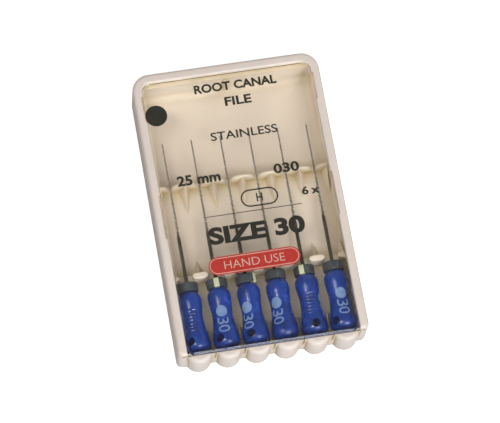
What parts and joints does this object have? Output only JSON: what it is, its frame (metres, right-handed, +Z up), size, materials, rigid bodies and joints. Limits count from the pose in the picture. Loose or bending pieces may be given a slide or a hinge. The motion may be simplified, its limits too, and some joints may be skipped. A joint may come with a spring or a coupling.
{
  "type": "endodontic file pack",
  "caption": "Root canal files with waisted plastic handles and silicone stoppers, lying in a shallow plastic case with a clear sliding cover.",
  "frame": {"origin": "middle of the resting face: the centre, in X and Y, of the pack's box, at the underside of the tray", "axes": "+X across the case to the right as the picture shows it, +Y along the files from the handle end to the tip end, +Z up through the cover"},
  "size_m": [0.0302, 0.048, 0.007],
  "materials": {
    "ivory_plastic": "satin moulded ivory plastic",
    "clear_plastic": "clear, polished, printed in black",
    "blue_plastic": "glossy, slightly translucent blue",
    "steel": "ground stainless steel",
    "grey_silicone": "dark grey silicone, matt"
  },
  "bodies": {
    "case": {"tray": "ivory_plastic"},
    "cover": {"cover": "clear_plastic"},
    "file_1": {"handle_1": "blue_plastic", "shaft_1": "steel"},
    "stopper_1": {"stopper_1": "grey_silicone"},
    "file_2": {"handle_2": "blue_plastic", "shaft_2": "steel"},
    "stopper_2": {"stopper_2": "grey_silicone"},
    "file_3": {"handle_3": "blue_plastic", "shaft_3": "steel"},
    "stopper_3": {"stopper_3": "grey_silicone"},
    "file_4": {"handle_4": "blue_plastic", "shaft_4": "steel"},
    "stopper_4": {"stopper_4": "grey_silicone"},
    "file_5": {"handle_5": "blue_plastic", "shaft_5": "steel"},
    "stopper_5": {"stopper_5": "grey_silicone"},
    "file_6": {"handle_6": "blue_plastic", "shaft_6": "steel"},
    "stopper_6": {"stopper_6": "grey_silicone"}
  },
  "joints": [
    {"name": "cover_slide", "type": "slide", "parent": "case", "child": "cover", "axis": [0, -1, 0], "range_m": [0, 0.0465]},
    {"name": "file_1_roll", "type": "hinge", "parent": "case", "child": "file_1", "pos_m": [-0.01162, -0.01222, 0.0035], "axis": [0, 1, 0], "continuous": true},
    {"name": "stopper_1_turn", "type": "hinge", "parent": "file_1", "child": "stopper_1", "pos_m": [-0.01162, -0.01222, 0.0035], "axis": [0, 1, 0], "continuous": true},
    {"name": "file_2_roll", "type": "hinge", "parent": "case", "child": "file_2", "pos_m": [-0.00698, -0.01222, 0.0035], "axis": [0, 1, 0], "continuous": true},
    {"name": "stopper_2_turn", "type": "hinge", "parent": "file_2", "child": "stopper_2", "pos_m": [-0.00698, -0.01222, 0.0035], "axis": [0, 1, 0], "continuous": true},
    {"name": "file_3_roll", "type": "hinge", "parent": "case", "child": "file_3", "pos_m": [-0.00232, -0.01222, 0.0035], "axis": [0, 1, 0], "continuous": true},
    {"name": "stopper_3_turn", "type": "hinge", "parent": "file_3", "child": "stopper_3", "pos_m": [-0.00232, -0.01222, 0.0035], "axis": [0, 1, 0], "continuous": true},
    {"name": "file_4_roll", "type": "hinge", "parent": "case", "child": "file_4", "pos_m": [0.00232, -0.01222, 0.0035], "axis": [0, 1, 0], "continuous": true},
    {"name": "stopper_4_turn", "type": "hinge", "parent": "file_4", "child": "stopper_4", "pos_m": [0.00232, -0.01222, 0.0035], "axis": [0, 1, 0], "continuous": true},
    {"name": "file_5_roll", "type": "hinge", "parent": "case", "child": "file_5", "pos_m": [0.00698, -0.01222, 0.0035], "axis": [0, 1, 0], "continuous": true},
    {"name": "stopper_5_turn", "type": "hinge", "parent": "file_5", "child": "stopper_5", "pos_m": [0.00698, -0.01222, 0.0035], "axis": [0, 1, 0], "continuous": true},
    {"name": "file_6_roll", "type": "hinge", "parent": "case", "child": "file_6", "pos_m": [0.01162, -0.01222, 0.0035], "axis": [0, 1, 0], "continuous": true},
    {"name": "stopper_6_turn", "type": "hinge", "parent": "file_6", "child": "stopper_6", "pos_m": [0.01162, -0.01222, 0.0035], "axis": [0, 1, 0], "continuous": true}
  ]
}
